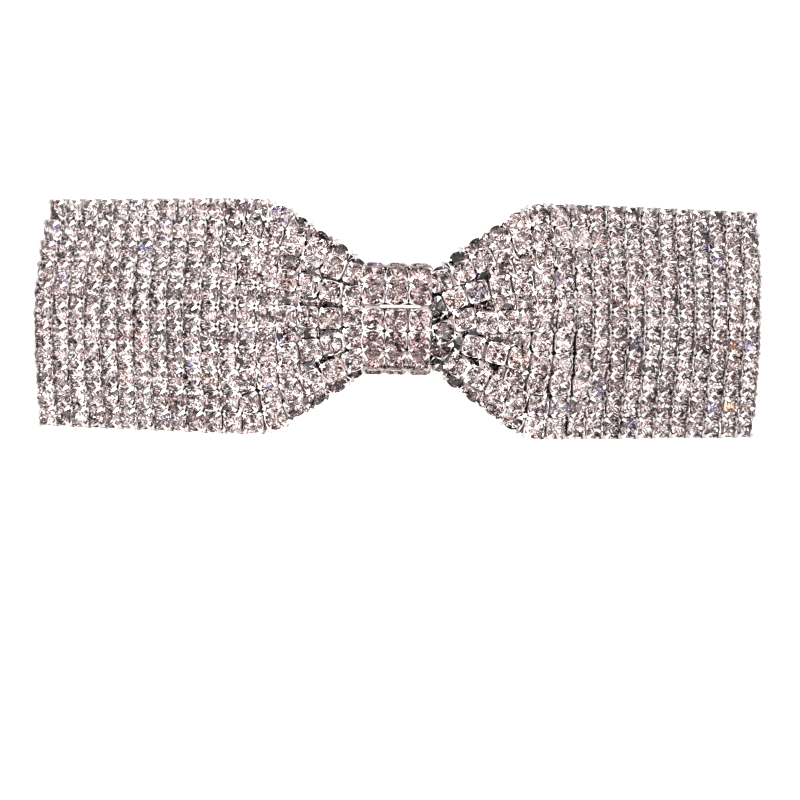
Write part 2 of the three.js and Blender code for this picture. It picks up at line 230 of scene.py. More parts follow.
# ---- one stone and one cup
# Both have the stone's face at depth 0, depth along +Y, and X along the chain.
STONE_SIDES, TABLE_SIDES = 16, 8
INNER_RINGS = ((0.74, 0.34), (0.4, 0.7))  # shares of the foiled back's radius and depth
CORNER_ERROR = 0.035  # how far hand cutting moves a back's inner corners


def stone_template(radius, girdle=0.62, table=0.58, crown=0.47, pavilion=1.12):
    """A brilliant with a foiled back of many narrow facets. Kind 0 is glass and kind 1 is foil."""
    sides, table_sides = STONE_SIDES, TABLE_SIDES

    def ring(count, r, depth):
        turn = 0 if count == table_sides else 0.5
        angles = [2 * math.pi * (i + turn) / count for i in range(count)]
        return [(r * math.cos(a), depth, r * math.sin(a)) for a in angles]

    points = ring(table_sides, radius * table, girdle - crown)
    points += ring(sides, radius, girdle - 0.03) + ring(sides, radius, girdle + 0.05)
    for share, deep in INNER_RINGS:
        points += ring(sides, radius * share, girdle + pavilion * deep)
    points.append((0, girdle + pavilion, 0))
    upper, lower = table_sides, table_sides + sides
    faces, kinds = [list(range(table_sides))], [0]
    for k in range(table_sides):
        a, b, after = (upper + (2 * k + step) % sides for step in (-1, 0, 1))
        nxt = (k + 1) % table_sides
        faces += [[k, a, b], [k, b, nxt], [b, after, nxt]]
        kinds += [0, 0, 0]
    for i in range(sides):
        j = (i + 1) % sides
        faces.append([upper + i, lower + i, lower + j, upper + j])
        kinds.append(0)
        for r in range(len(INNER_RINGS)):
            a, b = lower + r * sides, lower + (r + 1) * sides
            faces += [[a + i, b + i, b + j], [a + i, b + j, a + j]]
            kinds += [1, 1]
        last = lower + len(INNER_RINGS) * sides
        faces.append([last + i, last + sides, last + j])
        kinds.append(1)
    return points, faces, kinds


def cut_stones(name, template, places):
    """Stones with hand-cut backs: inner corners a little off, and each facet with its own painted brightness,
    a painted reflection.
    """
    points, faces, kinds = stamp(template, places)
    corners = points.reshape(len(places), -1, 3)
    inner = TABLE_SIDES + 2 * STONE_SIDES
    corners[:, inner:] += rng.normal(0, CORNER_ERROR, corners[:, inner:].shape)
    stones = new_mesh(name, points, faces, kinds)
    # each facet gets a random painted brightness, standing in for what it reflects
    return face_out(mark(stones, "painted_sparkle", "FACE", rng.random(len(faces))))


def cup_template(half, depth=CHAIN_DEPTH, sides=12, power=6.5):
    """A stamped cup, nearly square, with four prongs and a dimpled back."""
    def ring(a, d):
        points = []
        for i in range(sides):
            t = 2 * math.pi * (i + 0.5) / sides
            scale = (abs(math.cos(t)) ** power + abs(math.sin(t)) ** power) ** (-1 / power)
            points.append((a * scale * math.cos(t), d, a * scale * math.sin(t)))
        return points

    profile = [  # half width and depth, from the dimple in the back, over the rim and down inside
        (0.12 * half, depth - 0.34), (0.2 * half, depth - 0.05), (0.62 * half, depth - 0.04),
        (0.84 * half, depth - 0.22), (0.95 * half, depth * 0.62), (half, 0.84),
        (1.02 * half, 0.7), (0.9 * half, 0.73), (0.84 * half, 1.3), (0.4 * half, depth - 0.55),
    ]
    points = [p for a, d in profile for p in ring(a, d)]
    faces = rings_to_faces(len(profile), sides)
    wall = (points, faces, [0] * len(faces))
    prongs = [prong_template(half, math.pi / 4 + k * math.pi / 2) for k in range(4)]
    return join_templates(wall, *prongs)


def prong_template(half, angle):
    """A claw that rises from the cup's corner and folds over the stone's girdle."""
    path = [(1.35, 1.5), (1.36, 0.85), (1.26, 0.46), (0.98, 0.3), (0.72, 0.14)]  # share of half, depth
    widths = [0.3, 0.3, 0.25, 0.16, 0.04]
    thick = 0.06
    points = []
    for k, ((r, d), w) in enumerate(zip(path, widths)):
        a, b = path[max(k - 1, 0)], path[min(k + 1, len(path) - 1)]
        along = Vector(((b[0] - a[0]) * half, b[1] - a[1])).normalized()
        out = Vector((-along.y, along.x)) * thick
        for side, sign in ((-w, -1), (w, -1), (w, 1), (-w, 1)):
            rr, dd = r * half + sign * out.x, d + sign * out.y
            points.append((rr * math.cos(angle) - side * math.sin(angle), dd,
                           rr * math.sin(angle) + side * math.cos(angle)))
    faces = rings_to_faces(len(path), 4)
    return points, faces, [0] * len(faces)


# ---- the gathered mesh of stones
# How much sooner and longer than drawn the two sides of the knot are gathered.
HINGE_SIDE_SOONER, HINGE_SIDE_LONGER, LATCH_SIDE_LONGER = 1.4, 0.8, 1.6
STRIP_FRONT = CHAIN_DEPTH - 0.3  # depth of the link strips' front, behind the stones
FOUR_CORNERS = ((-1, 0), (1, 0), (1, 1), (-1, 1))  # round a strip: which side, and front or back
FLAT_COLUMN = 9  # from this column on, counted from the middle, the chains lie flat
EDGE_DRAW = 1.1  # how far the outermost chains are drawn to the knot
SHORT_EDGE_IN, SHORT_EDGE_SLOPE = 0.5, 1.3  # the hinge end's short edge, set in unevenly
BUCKLE, BUCKLE_TURN, BUCKLE_NOISE = 0.62, 0.22, 0.3  # depth in pitches, turn for each column, its noise
DEPTH_NOISE = 0.22
SETTLE_STEPS = 500
OUTLINE_MARGIN, OUTLINE_PULL = 1.0, 0.6
ROOM = (-0.5, 2.0)  # depths that the chains may take, from the mesh's hump
KNOT_ROOM, KNOT_REACH = (-0.15, 0.5), 0.6  # the same inside the knot, and how far past it


def pinch(s):
    """How much the knot gathers the mesh: sooner on the hinge side, which is the fuller one."""
    s = np.asarray(s, float)
    start = np.where(s < 0, PINCH_FROM - HINGE_SIDE_SOONER, PINCH_FROM)
    end = np.where(s < 0, PINCH_TO + HINGE_SIDE_LONGER, PINCH_TO + LATCH_SIDE_LONGER)
    outward = np.clip((np.abs(s) - start) / (end - start), 0, 1)
    lost = (HALF_HEIGHT - PINCH_HALF) * (1 - outward) ** PINCH_POWER
    return (HALF_HEIGHT - lost) / HALF_HEIGHT


def half_outline(s):
    return HALF_HEIGHT * pinch(s)


def settle_mesh():
    """Where the stones lie, flat: s, z and d for each row and column.

    The chains keep their length and their distance, so where the knot gathers them they buckle,
    with the outermost chains rolled back.
    """
    row = np.arange(ROWS)[:, None] - (ROWS - 1) / 2
    column = np.arange(COLUMNS)[None, :] - (COLUMNS - 1) / 2
    edge = (row / 5) ** 2
    s = column * PITCH - np.sign(column) * EDGE_DRAW * edge * smooth(np.abs(column), 2, FLAT_COLUMN)
    uneven = SHORT_EDGE_IN + SHORT_EDGE_SLOPE * (np.clip(-row, 0, 5) / 5) ** 2
    s = s + uneven * smooth(-column, 8, 19)
    z = -row * ROW_PITCH * pinch(s)
    slack = np.sqrt(np.clip(1 - pinch(s) ** 2, 0, 1))
    turns = BUCKLE_TURN * np.abs(column)
    wave = -np.cos(math.pi * row + turns + rng.normal(0, BUCKLE_NOISE, (ROWS, 1)))
    d = BUCKLE * PITCH * slack * wave + rng.normal(0, DEPTH_NOISE, s.shape) * (slack > 0.05)
    d = d - hump(s)
    p = np.stack([s, z, d], -1)
    rigid = np.abs(column) >= FLAT_COLUMN
    home = p.copy()
    home[..., 2] = np.where(rigid, -hump(home[..., 0]), home[..., 2])
    most = (ROWS - 1) / 2 * ROW_PITCH
    every, but_first, but_last = slice(None), slice(1, None), slice(0, -1)
    links = (  # both ends, least and most distance in pitches, and weight
        ((every, but_last), (every, but_first), 0.96, 1.08, 0.5),  # along a chain
        ((but_last, every), (but_first, every), 0.9, 1.0, 0.45),  # between neighbouring chains
        ((but_last, but_last), (but_first, but_first), 0.92, 99, 0.4),  # stones that may only touch
        ((but_last, but_first), (but_first, but_last), 0.92, 99, 0.4),
        ((slice(0, -2), every), (slice(2, None), every), 0.92, 99, 0.4),
    )

    for _ in range(SETTLE_STEPS):
        move = np.zeros_like(p)
        for link in links:
            pull(move, p, *link)
        p = p + move
        limit = np.minimum(most, half_outline(p[..., 0]) - OUTLINE_MARGIN)
        for edge_row, sign in ((0, 1), (ROWS - 1, -1)):
            p[edge_row, :, 1] += OUTLINE_PULL * (sign * limit[edge_row] - p[edge_row, :, 1])
        p[..., 1] = np.clip(p[..., 1], -limit, limit)
        base = -hump(p[..., 0])
        p[..., 2] = np.clip(p[..., 2], base + ROOM[0], base + ROOM[1])
        near_knot = np.abs(p[..., 0]) < PINCH_FROM + KNOT_REACH
        p[..., 2] = np.where(near_knot, np.clip(p[..., 2], *KNOT_ROOM), p[..., 2])
        p = np.where(rigid[..., None], home, p)
        p[:, (COLUMNS - 1) // 2, 0] = 0
    return p


def pull(move, p, first, second, low, high, weight):
    """Add to `move` what brings each pair's distance between two multiples of the pitch."""
    gap = p[second] - p[first]
    length = np.linalg.norm(gap, axis=-1, keepdims=True) + 1e-9
    wanted = np.clip(length, low * PITCH, high * PITCH)
    step = weight * 0.5 * gap * (1 - wanted / length)
    move[first] += step
    move[second] -= step


MOST_LEAN = math.radians(34)
LEAN_BY_KNOT = 0.45  # share of the most lean that stones beside the knot may have
WOBBLE, WOBBLE_GATHERED = 0.035, 0.1  # how unevenly stones sit, and how much more where gathered
STRAIGHTEN = 1.5  # weight of the arch's own direction for a stone that leans too far
SPIN_ERROR, TILT_ERROR = 0.09, 0.03  # how stones sit in their cups, in radians


def stone_places(p):
    """Each stone's matrix on the arch: X along the chain, Y into the mesh, Z up."""
    x, y, angle = bow_arch(p[..., 0], p[..., 2])
    world = np.stack([x, y, p[..., 1]], -1)
    along = unit(np.gradient(world, axis=1))
    inward = unit(np.cross(-np.gradient(world, axis=0), along))
    straight = np.stack([-np.sin(angle), np.cos(angle), 0 * angle], -1)
    gathered = 1 - pinch(p[..., 0])
    wobble = (WOBBLE + WOBBLE_GATHERED * gathered)[..., None]
    inward = unit(inward + rng.normal(0, 1, inward.shape) * wobble)
    lean = np.arccos(np.clip((inward * straight).sum(-1), -1, 1))[..., None]
    away = smooth(np.abs(p[..., 0]), 7, 11)
    most = MOST_LEAN * (LEAN_BY_KNOT + (1 - LEAN_BY_KNOT) * away)[..., None]
    share = np.minimum(1, most / np.maximum(lean, 1e-6))
    inward = unit(straight * (1 - share) * STRAIGHTEN + inward * share)
    up = unit(np.cross(along, inward))
    along = np.cross(inward, up)
    places = np.zeros(p.shape[:2] + (4, 4))
    places[..., :3, :] = np.stack([along, inward, up, world], -1)
    places[..., 3, 3] = 1
    return places


def unit(vectors):
    return vectors / (np.linalg.norm(vectors, axis=-1, keepdims=True) + 1e-12)


def spun(places):
    """The same places with each stone turned a little in its cup."""
    turned = []
    for place in places:
        spin = Matrix.Rotation(rng.normal(0, SPIN_ERROR), 4, "Y")
        tilt = Matrix.Rotation(rng.normal(0, TILT_ERROR), 4, "X")
        sway = Matrix.Rotation(rng.normal(0, TILT_ERROR), 4, "Z")
        turned.append(place @ np.array(spin @ tilt @ sway))
    return turned


def strip(places, sections):
    """A closed strip through the places, with a section of four corners in each."""
    corners = [(place @ np.array([*corner, 1]))[:3]
               for place, section in zip(places, sections) for corner in section]
    faces = rings_to_faces(len(places), 4)
    return np.array(corners), faces, [0] * len(faces)


def link_strip(places, width, thick):
    """A thin strip that joins a chain's cups at their backs."""
    section = [(0, STRIP_FRONT + y * thick, z * width / 2) for z, y in FOUR_CORNERS]
    return strip(places, [section] * len(places))


# ---- materials
GLASS_IOR = 1.56
SCRATCH, SCRATCH_DEPTH = 0.05, 0.00001  # strength, and depth in metres, of a metal's handling marks
# Dark colours of painted shade for hollows between parts: plain metal first, then the silver cups.
PLAIN_PAINTED_SHADE = (0.12, 0.1, 0.1)
SILVER_PAINTED_SHADE = (0.26, 0.22, 0.215)


def add(tree, kind, **values):
    """A new node with these properties, and for its sockets these values or links."""
    node = tree.nodes.new("ShaderNode" + kind)
    for key, value in values.items():
        if hasattr(node, key):
            setattr(node, key, value)
        elif isinstance(value, bpy.types.NodeSocket):
            tree.links.new(value, node.inputs[key])
        else:
            node.inputs[key.replace("_", " ")].default_value = value
    return node


def material(name, **values):
    made = bpy.data.materials.new(name)
    made.use_nodes = True
    tree = made.node_tree
    tree.nodes.clear()
    shader = add(tree, "BsdfPrincipled", **values)
    add(tree, "OutputMaterial", Surface=shader.outputs["BSDF"])
    return made, tree, shader


def noise(tree, scale, detail=3.0, roughness=0.6):
    place = add(tree, "TexCoord").outputs["Object"]
    node = add(tree, "TexNoise", Vector=place, Scale=scale, Detail=detail, Roughness=roughness)
    return node.outputs["Fac"]


def ramp(tree, factor, stops):
    node = add(tree, "ValToRGB", Fac=factor)
    elements = node.color_ramp.elements
    while len(elements) < len(stops):
        elements.new(0.5)
    for element, (place, colour) in zip(elements, stops):
        element.position = place
        element.color = (*colour, 1)
    return node.outputs["Color"]


def spread(tree, factor, low, high):
    return add(tree, "MapRange", Value=factor, To_Min=low, To_Max=high).outputs["Result"]


def bump(tree, shader, height, strength, distance):
    node = add(tree, "Bump", Strength=strength, Distance=distance, Height=height)
    tree.links.new(node.outputs["Normal"], shader.inputs["Normal"])


def with_painted_shade(tree, colour, dark):
    """The colour, darkened by painted shade where the mesh is marked as lying in a hollow between parts."""
    painted_shade = add(tree, "Attribute", attribute_name="painted_shade").outputs["Fac"]
    mix = add(tree, "Mix", data_type="RGBA", Factor=painted_shade, A=colour, B=(*dark, 1))
    return mix.outputs["Result"]


def metal(name, light, dark, rough, painted_shade=PLAIN_PAINTED_SHADE):
    """Plated metal: slightly uneven colour and gloss, with fine handling marks, and painted shade where the
    mesh is marked as lying in a hollow.
    """
    made, tree, shader = material(name, Metallic=1.0)
    cloud = ramp(tree, noise(tree, 260.0), [(0.3, dark), (0.65, light)])
    tree.links.new(with_painted_shade(tree, cloud, painted_shade), shader.inputs["Base Color"])
    tree.links.new(spread(tree, noise(tree, 900.0), *rough), shader.inputs["Roughness"])
    bump(tree, shader, noise(tree, 1300.0, 2.0), SCRATCH, SCRATCH_DEPTH)
    return made


def glass(name, tints):
    """Clear glass with a faint cast that changes from stone to stone."""
    made, tree, shader = material(name, Transmission_Weight=1.0, IOR=GLASS_IOR, Roughness=0.0)
    stops = list(zip((0.36, 0.46, 0.6, 0.72), tints))
    tree.links.new(ramp(tree, noise(tree, 330.0, 1.0), stops), shader.inputs["Base Color"])
    return made


def foil(name):
    """Silvered backs with painted reflections: every facet is painted its own brightness, from near black to
    white, in place of the light each facet would reflect; each stone leans a little to pink, and in rare
    patches strongly to blue or orange, as painted glints of fire.
    """
    made, tree, shader = material(name, Metallic=1.0)
    painted_sparkle = add(tree, "Attribute", attribute_name="painted_sparkle").outputs["Fac"]
    painted_facet_light = ramp(tree, painted_sparkle, [
        (0.0, (0.01, 0.008, 0.009)), (0.14, (0.02, 0.015, 0.015)), (0.22, (0.14, 0.11, 0.108)),
        (0.38, (0.38, 0.31, 0.3)), (0.46, (0.86, 0.8, 0.79)), (0.54, (0.97, 0.96, 0.96)),
        (1.0, (0.97, 0.97, 0.97)),
    ])
    # A faint pink cast, with painted glints of fire: strong orange and blue at the rare ends of the noise.
    cast_and_painted_fire = ramp(tree, noise(tree, 420.0, 1.0), [
        (0.23, (1.0, 0.7, 0.5)), (0.3, (0.97, 0.9, 0.88)), (0.44, (0.99, 0.955, 0.95)),
        (0.68, (0.99, 0.96, 0.96)), (0.77, (0.5, 0.52, 1.0)),
    ])
    mix = add(tree, "Mix", data_type="RGBA", blend_type="MULTIPLY", Factor=1.0, A=painted_facet_light, B=cast_and_painted_fire)
    tree.links.new(mix.outputs["Result"], shader.inputs["Base Color"])
    tree.links.new(spread(tree, noise(tree, 1500.0), 0.03, 0.12), shader.inputs["Roughness"])
    return made


def clear_glue():
    """Cured glue, slightly yellow, with an uneven skin."""
    made, tree, shader = material("clear_glue", Roughness=0.35)
    stops = [(0.35, (0.85, 0.8, 0.68)), (0.65, (0.9, 0.87, 0.8))]
    tree.links.new(ramp(tree, noise(tree, 500.0), stops), shader.inputs["Base Color"])
    bump(tree, shader, noise(tree, 900.0), 0.4, 0.0001)
    return made


silver = metal("silver_cup", (0.97, 0.94, 0.94), (0.86, 0.81, 0.81), (0.08, 0.2), SILVER_PAINTED_SHADE)
nickel = metal("nickel_sheet", (0.94, 0.87, 0.87), (0.86, 0.79, 0.79), (0.2, 0.34))
spring = metal("spring_steel", (0.94, 0.88, 0.88), (0.88, 0.82, 0.82), (0.12, 0.24))
wire = metal("steel_pin", (0.7, 0.69, 0.68), (0.6, 0.59, 0.58), (0.2, 0.34))
crystal = glass("stone_glass", [(0.88, 0.8, 0.8), (0.95, 0.91, 0.91), (0.97, 0.94, 0.94), (0.85, 0.83, 0.88)])
mauve = glass("knot_glass", [(0.7, 0.55, 0.55), (0.77, 0.65, 0.65), (0.8, 0.7, 0.7), (0.7, 0.62, 0.65)])
foil_with_painted_sparkle = foil("stone_foil_painted_sparkle")
glue = clear_glue()


def dress(obj, body, slot, *materials):
    """Give a piece its materials, in the order of their indices, and its body. The slot is not used."""
    for each in materials:
        obj.data.materials.append(each)
    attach(obj, body)


# ---- stone rows
CUP_HALF, STONE_RADIUS = 1.38, 1.395
CUP_SHADE_FROM, CUP_SHADE_TO = 0.58, 1.0  # depths between which a cup's wall takes painted shade
CORE_STRIP = (0.8, 0.2)  # width and thickness of the strip that runs through under the knot
SIDE_STRIP_WIDTH, EDGE_STRIP_WIDTH, SIDE_STRIP_THICK = 2.65, 2.35, 0.12
CROSS_LINK_FRONT, CROSS_LINK_THICK, CROSS_LINK_HALF, CROSS_LINK_REACH = CHAIN_DEPTH - 0.22, 0.1, 1.3, 0.7
STRIP_PAINTED_SHADE = np.array([1.0, 1.0, 0.0, 0.0])  # a strip's front takes painted shade, as it faces the gap between chains; its back doesn't


def cup_painted_shade(points, open_sides=()):
    """Painted shade on the stretch of a cup's wall that faces a neighbour, where shade falls between cups.
    Open sides are (axis, sign) pairs.
    """
    points = np.asarray(points)
    depth = points[:, 1]
    back = smooth(depth, CHAIN_DEPTH - 0.14, CHAIN_DEPTH - 0.05)
    wall_shade = smooth(depth, CUP_SHADE_FROM, CUP_SHADE_TO) * (1 - back)
    for axis, sign in open_sides:
        wall_shade = wall_shade * (points[:, axis] * sign < 0.55 * CUP_HALF)
    return wall_shade


def stone_rows():
    places = stone_places(settle_mesh())
    stone = stone_template(STONE_RADIUS)
    cup = cup_template(CUP_HALF)
    wrapped = [(COLUMNS - 1) // 2 + k for k in (-1, 0, 1)]  # inside the knot the cups are left off
    shown = [c for c in range(COLUMNS) if c not in wrapped]
    for r in range(ROWS):
        label = f"{r + 1:02d}"
        row_places = [places[r, c] for c in range(COLUMNS)]
        cup_places = [places[r, c] for c in shown]
        halves = [row_places[:wrapped[0]], row_places[wrapped[-1] + 1:]]
        parts = [stamp(cup, cup_places), link_strip(row_places, *CORE_STRIP)]
        width = EDGE_STRIP_WIDTH if r in (0, ROWS - 1) else SIDE_STRIP_WIDTH
        parts += [link_strip(half, width, SIDE_STRIP_THICK) for half in halves]
        # Painted shade for each piece of the row: cup walls between cups, and the fronts of the link strips.
        shade_marks = []
        for c in shown:
            edges = [(0, -1)] * (c == 0) + [(0, 1)] * (c == COLUMNS - 1)
            edges += [(2, 1)] * (r == 0) + [(2, -1)] * (r == ROWS - 1)
            shade_marks.append(cup_painted_shade(cup[0], edges))
        shade_marks += [np.tile(STRIP_PAINTED_SHADE, len(strip)) for strip in (row_places, *halves)]
        if r + 1 < ROWS:
            parts += [cross_link(places[r, c], places[r + 1, c]) for c in shown]
            shade_marks.append(np.tile(STRIP_PAINTED_SHADE, 2 * len(shown)))
        cups_row = mark_painted_shade(new_mesh(f"cups_row_{label}", *join_templates(*parts)), shade_marks)
        dress(shade(face_out(cups_row), 35), "bow", "silver_cup", silver)
        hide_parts(f"chain_row_{label}")
        stones_row = cut_stones(f"stones_row_{label}", stone, spun(cup_places))
        dress(shade(stones_row), "bow", "stone", crystal, foil_with_painted_sparkle)


def cross_link(upper, lower):
    """The flat bridge between the backs of two neighbouring chains' cups."""
    corners = [(x * CROSS_LINK_HALF, CROSS_LINK_FRONT + y * CROSS_LINK_THICK) for x, y in FOUR_CORNERS]
    sections = [[(x, y, z) for x, y in corners] for z in (-CROSS_LINK_REACH, CROSS_LINK_REACH)]
    return strip((upper, lower), sections)


# ---- knot
# Each chain of the knot has five stones in front and one on each end, and its ends meet at the seam.
KNOT_STONES = [  # z, depth of the stone's face, degrees that it leans up
    (7.5, 1.1, 90), (6.25, -1.85, 40), (3.35, -2.6, 6), (-0.15, -2.62, -1),
    (-3.1, -2.56, -6), (-5.95, -1.85, -38), (-7.5, 1.1, -90),
]
KNOT_STONE_RADIUS, KNOT_GIRDLE, KNOT_CROWN, KNOT_CUP_HALF = 1.45, 0.66, 0.5, 1.43
KNOT_LEAN_ERROR, KNOT_SPREAD_ERROR = 2.5, 0.05  # degrees and millimetres
BAND_HALF, BAND_THICK = 1.15, 0.22


def leaning(x, z, d, lean):
    """The place of a knot stone that leans up by so many degrees."""
    turn = Matrix.Rotation(math.radians(-lean), 4, "X")
    turn = Matrix.Rotation(math.radians(rng.normal(0, KNOT_LEAN_ERROR)), 4, "Z") @ turn
    return np.array(Matrix.Translation((x, d, z)) @ turn)


def knot():
    stone = stone_template(KNOT_STONE_RADIUS, girdle=KNOT_GIRDLE, crown=KNOT_CROWN)
    cup = cup_template(KNOT_CUP_HALF)
    for k, side in enumerate(("left", "middle", "right")):
        x = (k - 1) * KNOT_PITCH
        places = [leaning(x + rng.normal(0, KNOT_SPREAD_ERROR), *stone_at) for stone_at in KNOT_STONES]
        band = knot_band(x)
        cups = new_mesh(f"knot_cups_{side}", *join_templates(stamp(cup, places), band))
        outside = [(0, k - 1)] * (k != 1)
        # Painted shade on the cups' walls between neighbours, and on the band's front behind the stones.
        band_painted_shade = 1 - smooth(band[0][:, 1], 0.0, 0.6)
        mark_painted_shade(cups, [cup_painted_shade(cup[0], outside)] * len(places) + [band_painted_shade])
        dress(shade(face_out(cups), 35), "bow", "silver_cup", silver)
        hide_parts(f"knot_chain_{side}")
        stones = cut_stones(f"knot_stones_{side}", stone, spun(places))
        dress(shade(stones), "bow", "stone", mauve, foil_with_painted_sparkle)


def knot_band(x):
    """The thin metal band that joins one knot chain's cups and closes the loop at the back."""
    inner = [(-0.35, 4.7), (-0.2, 5.2), (0.3, 5.5), (2.4, 5.5), (3.2, 5.3), (3.5, 4.6)]  # depth, z
    path = inner + [(d, -z) for d, z in reversed(inner)]
    points = []
    for i, (d, z) in enumerate(path):
        before, after = path[i - 1], path[(i + 1) % len(path)]
        out = Vector((-(after[1] - before[1]), after[0] - before[0])).normalized() * -BAND_THICK
        for dx, grow in FOUR_CORNERS:
            points.append((x + dx * BAND_HALF, d - grow * out.x, z - grow * out.y))
    count = len(path)
    faces = rings_to_faces(count, 4, capped=False)
    last = (count - 1) * 4
    faces += [[last + i, last + (i + 1) % 4, (i + 1) % 4, i] for i in range(4)]
    return np.array(points), faces, [0] * len(faces)


# ---- bent sheets
def on_arch(mapping):
    """Places flat sheet coordinates on an arch."""
    def place(u, v, d):
        x, y, _ = mapping(u, d)
        return np.stack([x, y, v + 0 * x], -1)
    return place


def frame_on(mapping, s, d):
    x, y, angle = mapping(s, d)
    return Matrix.Translation((float(x), float(y), 0)) @ Matrix.Rotation(float(angle), 4, "Z")


def sheet(place, stations, span, front, back, across=20, edge=0.14):
    """A closed sheet with rounded long edges, as a template. Depth grows from front to back."""
    u = np.asarray(stations, float)
    low, high = (np.broadcast_to(np.asarray(side, float), u.shape) for side in span(u))
    v = (low + edge)[:, None] + (high - low - 2 * edge)[:, None] * np.linspace(0, 1, across + 1)
    grid = np.broadcast_to(u[:, None], v.shape)
    f, b = front(grid, v) + 0 * v, back(grid, v) + 0 * v
    corner = np.radians([40, 90])

    def side(column, sign, reverse):
        z, df, db = v[:, column], f[:, column], b[:, column]
        run = [(z + sign * edge * math.sin(a), df + edge * (1 - math.cos(a))) for a in corner]
        run += [(z + sign * edge * math.sin(a), db - edge * (1 - math.cos(a))) for a in corner[::-1]]
        return run[::-1] if reverse else run

    right, left = side(-1, 1, False), side(0, -1, True)
    vs = [v] + [z[:, None] for z, _ in right] + [v[:, ::-1]] + [z[:, None] for z, _ in left]
    ds = [f] + [d[:, None] for _, d in right] + [b[:, ::-1]] + [d[:, None] for _, d in left]
    vs, ds = np.concatenate(vs, 1), np.concatenate(ds, 1)
    points = place(np.broadcast_to(u[:, None], vs.shape), vs, ds)
    faces = rings_to_faces(len(u), vs.shape[1])
    return points.reshape(-1, 3), faces, [0] * len(faces)


def cutter(name, matrix, outline, length):
    """A prism along the frame's Y axis, with an outline of (x, z)."""
    points = [matrix @ Vector((x, y, z)) for y in (-length / 2, length / 2) for x, z in outline]
    return new_mesh(name, points, rings_to_faces(2, len(outline)))


def drill(name, matrix, radius, length=6.0, sides=32):
    angles = [2 * math.pi * i / sides for i in range(sides)]
    outline = [(radius * math.cos(a), radius * math.sin(a)) for a in angles]
    return cutter(name, matrix, outline, length)


def punch(name, matrix, x, z, corner=0.4):
    """A rectangular cutter with rounded corners: x and z are its low and high sides."""
    outline = []
    for cx, cz, start in ((x[1], z[1], 0), (x[0], z[1], 90), (x[0], z[0], 180), (x[1], z[0], 270)):
        for k in range(4):
            a = math.radians(start + 30 * k)
            inward_x = cx - math.copysign(corner, cx - sum(x) / 2)
            inward_z = cz - math.copysign(corner, cz - sum(z) / 2)
            outline.append((inward_x + corner * math.cos(a), inward_z + corner * math.sin(a)))
    return cutter(name, matrix, outline, 5.0)


# ---- base plate
PANEL_HALF, PANEL_TAPER, PANEL_END, PANEL_DROP = 3.2, 22, 33, 0.4
RIDGE, RIDGE_OUT, RIDGE_WIDTH, RIDGE_END = 0.12, 0.75, 0.22, 34  # the raised line round the panel
RIM, RIM_END = 0.1, 42


def base_plate():
    def half(s):
        reach = np.abs(s)
        neck = PLATE_HALF - (PLATE_HALF - TAB_HALF) * smooth(reach, TAB_JOGGLE, TAB_FROM)
        tip = np.clip((reach - (PLATE_END - TAB_HALF)) / TAB_HALF, 0, 0.995)
        return neck * np.sqrt(1 - tip ** 2) * 0.995

    def front(s, z):
        reach = np.abs(s)
        panel = PANEL_HALF * (1 - smooth(reach, PANEL_TAPER, PANEL_END))
        inside = 1 - smooth(np.abs(z), panel, panel + 0.5)
        joggle = (PLATE_DEPTH - TAB_DEPTH) * smooth(reach, TAB_JOGGLE, TAB_FROM)
        across = (np.abs(z) - panel - RIDGE_OUT) / RIDGE_WIDTH
        ridge = RIDGE * np.exp(-across ** 2) * (reach < RIDGE_END)
        rim = RIM * smooth(np.abs(z), half(s) - 0.8, half(s) - 0.2) * (reach < RIM_END)
        return PLATE_DEPTH - PANEL_DROP * inside * (panel > 0.05) - joggle - ridge + rim

    tips = [PLATE_END - TAB_HALF * (1 - math.sin(math.radians(a))) for a in range(10, 86, 12)]
    tips.append(PLATE_END - 0.02)
    middle = np.linspace(-47.4, 47.4, 260)
    stations = np.concatenate([-np.array(tips[::-1]), middle, tips])
    body = sheet(on_arch(bow_arch), stations, lambda s: (-half(s), half(s)),
                 front, lambda s, z: front(s, z) + SHEET, 44, 0.16)
    plate = face_out(new_mesh("barrette_plate", *body))
    holes = [drill("hole", frame_on(bow_arch, side * TAB_HOLE, TAB_DEPTH), TAB_HOLE_RADIUS)
             for side in (-1, 1)]
    carve(plate, *holes)
    dress(shade(plate, 40), "bow", "nickel_sheet", nickel)
    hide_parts("base_plate")


# ---- tension leaf
LEAF_TAPER, LEAF_TAPER_FROM, LEAF_CROWN = 0.62, 19, 0.25
GROOVES, GROOVE_WIDTH, GROOVE_DEPTH = (9.5, 13.5, 17.5), 0.3, 0.16  # slanting, on both sides of the oval
OVAL, OVAL_DEPTH = (8.5, 3.0), 0.12


def tension_leaf():
    def half(s):
        return LEAF_HALF * (1 - LEAF_TAPER * smooth(np.abs(s), LEAF_TAPER_FROM, LEAF_END))

    def front(s, z):
        reach = np.abs(s)
        crown = LEAF_CROWN * (1 - (z / LEAF_HALF) ** 2)
        groove = 0
        for start in GROOVES:
            slant = (reach - (start - 0.9 * z + 0.05 * z * z)) / GROOVE_WIDTH
            groove = groove + np.exp(-slant ** 2) * (1 - smooth(np.abs(z), 2.0, 2.9))
        outside = smooth(np.hypot(s / OVAL[0], z / OVAL[1]), 0.92, 1.08)
        return crown - GROOVE_DEPTH * groove - OVAL_DEPTH * (1 - outside)

    stations = np.linspace(-LEAF_END, LEAF_END, 300)
    body = sheet(on_arch(leaf_arch), stations, lambda s: (-half(s), half(s)),
                 front, lambda s, z: front(s, z) + LEAF_THICK, 44, 0.12)
    leaf = face_out(new_mesh("tension_spring", *body))
    dress(shade(leaf, 40), "leaf", "spring_steel", spring)
    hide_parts("tension_leaf")


